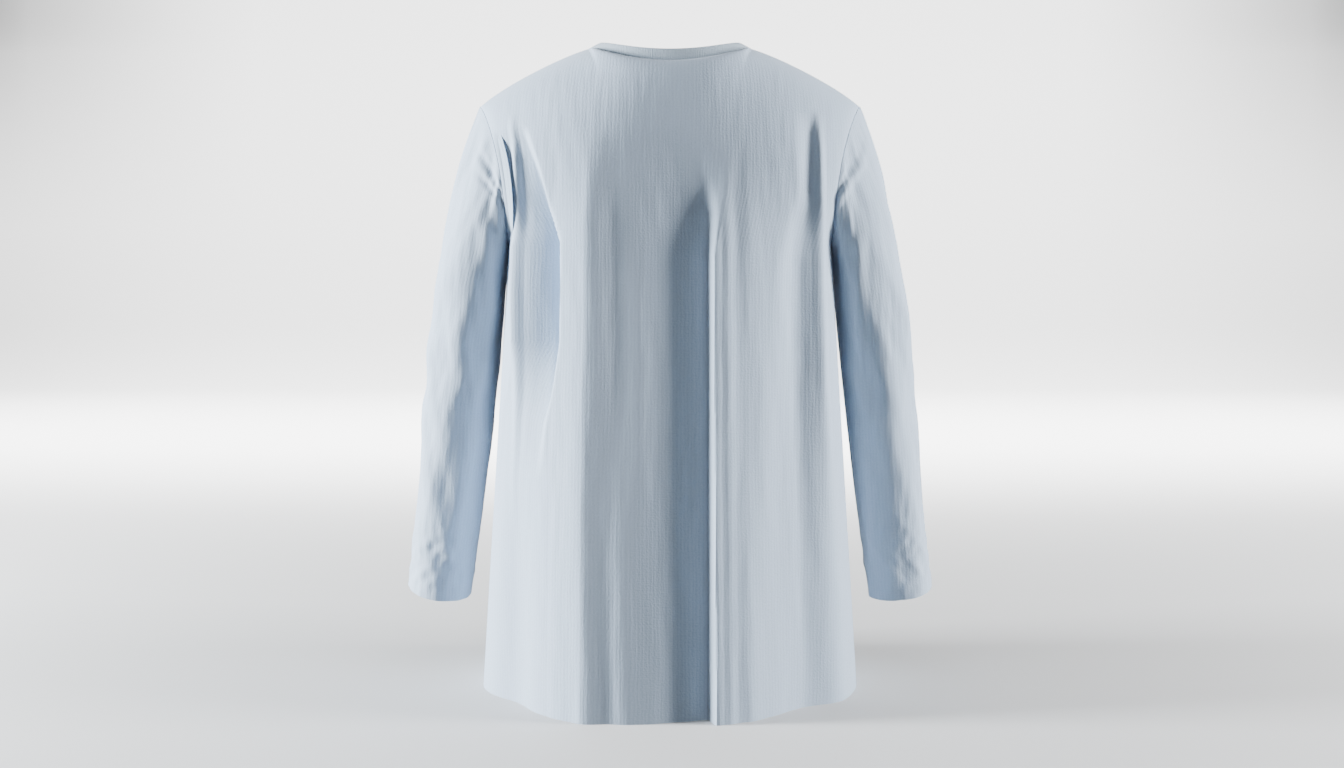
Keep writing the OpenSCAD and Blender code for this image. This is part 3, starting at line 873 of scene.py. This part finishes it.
def tie_surface(side, top, bottom, count, cols=5):
    x = (tie_middle(side) + np.linspace(TIE_W / 2, -TIE_W / 2, cols))[None, :]
    z = np.linspace(bottom, top, count)[:, None]
    row = row_at(x, z)
    grid = body_point(front_angle(x, row), row, True)
    x, z = grid[..., 0], grid[..., 2]
    window = smooth((top_point(x, True)[..., 2] - z) / 45)
    if side == LEFT:
        grid[..., 1] += LAP_GAP
    return displaced(grid, front_relief(x, z) * window)


def tie_pieces(side, place, top, long):
    """A tie, its sewn end and the box of stitches that holds it."""
    name = NAMES[side]
    end = add(
        sheet_object(
            f"{name}_{place}_tie_end", tie_surface(side, top + TIE_END, top + TIE_GAP, 6),
            TAPE, LAYER + TURNED, TURNED,
        ),
        [name + "_tie_ends"],
    )
    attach(end, name + "_flap")

    grid = tie_surface(side, top + TIE_END - 1.6, top + 2, 12, 9)[:, 1:-1]
    ways = normals(grid)
    grid = grid + ways * (LAYER + TURNED)
    box = [
        (grid[0], ways[0]), (grid[-1], ways[-1]),
        (grid[:, 0], ways[:, 0]), (grid[:, -1], ways[:, -1]),
    ]
    thread = stitches(
        f"{name}_{place}_tie_stitching", box, THREAD, pitch=1.9, length=1.5, wide=0.2, up=0.15
    )
    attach(thread, name + "_flap")

    tie = add(
        sheet_object(
            f"{name}_{place}_tie_tape", tie_surface(side, top, top - long, int(long / 4)),
            TAPE, LAYER + TURNED, TURNED,
        ),
        [f"{name}_{place}_tie"],
    )
    y = float(tie_surface(side, top, top - 4, 2)[1, 2, 1])
    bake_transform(tie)


neck_edge = float(top_point(np.array(LAP - TIE_STEP - TIE_W), True)[2])
neck_tie_top = neck_edge - TIE_GAP - TIE_END - TIE_INSET
for side in (LEFT, RIGHT):
    tie_pieces(side, "neck", neck_tie_top, NECK_TIE_L)
    tie_pieces(side, "waist", WAIST_Z, WAIST_TIE_L)

label_rows = np.linspace(1.74, 1.89, 14)
grid = body_point(np.linspace(-3, 3, 12)[None, :], label_rows[:, None], False)
label = sheet_object("care_label_tape", grid, LABEL, -CLOTH - 2, 0.5)
add(label, ["care_label"])
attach(label, "body")


# ---- Stage, lights and camera ----------------------------------------------------------
def stage_material():
    """Pale paper with painted light: it glows more and more behind the gown, with a bright band at
    its bend, and its glow is painted darker towards the upper corners.
    """
    material = bpy.data.materials.new("studio_paper")
    material.use_nodes = True
    tree = material.node_tree
    shader = tree.nodes["Principled BSDF"]
    shader.inputs["Base Color"].default_value = (0.58, 0.58, 0.58, 1)
    shader.inputs["Roughness"].default_value = 0.7
    place = tree.nodes.new("ShaderNodeNewGeometry")
    parts = tree.nodes.new("ShaderNodeSeparateXYZ")
    tree.links.new(place.outputs["Position"], parts.inputs[0])

    def ramp(value, first, last, stops):
        mapped = tree.nodes.new("ShaderNodeMapRange")
        mapped.inputs["From Min"].default_value = first
        mapped.inputs["From Max"].default_value = last
        tree.links.new(value, mapped.inputs["Value"])
        made = tree.nodes.new("ShaderNodeValToRGB")
        made.color_ramp.interpolation = "B_SPLINE"
        elements = made.color_ramp.elements
        while len(elements) < len(stops):
            elements.new(0.5)
        for element, (spot, level) in zip(elements, stops):
            element.position = spot
            element.color = (level, level, level, 1)
        tree.links.new(mapped.outputs[0], made.inputs[0])
        return made.outputs[0]

    apart = math_node(tree, "ABSOLUTE", parts.outputs[0])
    floor = ramp(
        parts.outputs[1], 0.0, 6.0,
        [(0.08, 0.0), (0.22, 0.16), (0.33, 0.55), (0.46, 1), (0.64, 0.95), (0.83, 0.7), (1, 0.5)],
    )
    wall = ramp(
        parts.outputs[2], 0.0, 3.0,
        [(0, 0.62), (0.12, 0.45), (0.35, 0.54), (0.6, 0.62), (1, 0.62)],
    )
    side = ramp(apart, 0.0, 6.0, [(0, 1.0), (0.4, 0.98), (0.62, 0.85), (1, 0.4)])
    glow = math_node(tree, "MULTIPLY", floor, math_node(tree, "MULTIPLY", wall, 2.1))
    glow = math_node(tree, "MULTIPLY", glow, side)
    # painted shade: the glow is dimmed towards the two upper corners of the wall
    fall = [(0, 0.0), (0.75, 0.88), (1, 0.92)]
    corner = math_node(
        tree, "MULTIPLY", ramp(apart, 2.4, 4.2, fall), ramp(parts.outputs[2], 0.9, 2.3, fall)
    )
    glow = math_node(tree, "MULTIPLY", glow, math_node(tree, "SUBTRACT", 1.0, corner))
    tree.links.new(math_node(tree, "MULTIPLY", glow, 5.5), shader.inputs["Emission Strength"])
    shader.inputs["Emission Color"].default_value = (1, 1, 1, 1)
    return material


def backdrop():
    """A paper sweep: a floor that turns up into a wall behind the gown."""
    bend_y, radius, steps = 5500, 500, 12
    line = [(-4000, 0), (bend_y, 0)]
    for k in range(1, steps + 1):
        a = math.radians(90 * k / steps)
        line.append((bend_y + radius * math.sin(a), radius * (1 - math.cos(a))))
    line.append((bend_y + radius, 5000))
    points = [(x, y, z) for y, z in line for x in (-9000, 9000)]
    faces = [[2 * i, 2 * i + 1, 2 * i + 3, 2 * i + 2] for i in range(len(line) - 1)]
    obj = new_object("studio_sweep", np.array(points, float), faces, stage_material())
    obj.visible_diffuse = False  # the paper doesn't light the gown, so its folds keep their depth


def area_light(name, place, aim, size, power_w, color=(1, 1, 1)):
    light = bpy.data.lights.new(name, "AREA")
    light.shape = "RECTANGLE"
    light.size, light.size_y = size
    light.energy = power_w
    light.color = color
    obj = bpy.data.objects.new(name, light)
    obj.location = place
    run = np.array(aim, float) - np.array(place, float)
    obj.rotation_euler = Vector(run).to_track_quat("-Z", "Y").to_euler()
    bpy.context.scene.collection.objects.link(obj)


backdrop()
# both side lights graze the back, so that its shallow folds show
area_light("key_left", (-2.9, -0.25, 0.85), (0, 0, 0.45), (0.6, 0.7), 450, (0.93, 0.97, 1.0))
area_light("rim_right", (2.7, -0.3, 0.95), (0, 0, 0.5), (0.8, 1.2), 215, (0.97, 0.985, 1.0))
area_light("top", (0, -0.5, 3.0), (0, 0, 0.5), (1.6, 1.2), 6)
area_light("fill", (0.2, -3.4, 2.0), (0, 0, 0.4), (2.4, 1.6), 6)
world = bpy.data.worlds.new("studio")
bpy.context.scene.world = world
world.use_nodes = True
world.node_tree.nodes["Background"].inputs["Color"].default_value = (0.96, 0.97, 0.98, 1)
world.node_tree.nodes["Background"].inputs["Strength"].default_value = 0.21

# the camera looks level at the middle of the back, from where the hem and cuffs curve as seen
camera = bpy.data.cameras.new("camera")
camera.lens = 35.36
camera.sensor_width = 36
camera.shift_x = 2 / IMAGE_W
camera.shift_y = -84 / IMAGE_W
camera_obj = bpy.data.objects.new("camera", camera)
camera_obj.location = (0, -1.722, 0.501)
camera_obj.rotation_euler = (math.radians(90), 0, 0)
bpy.context.scene.collection.objects.link(camera_obj)
bpy.context.scene.camera = camera_obj
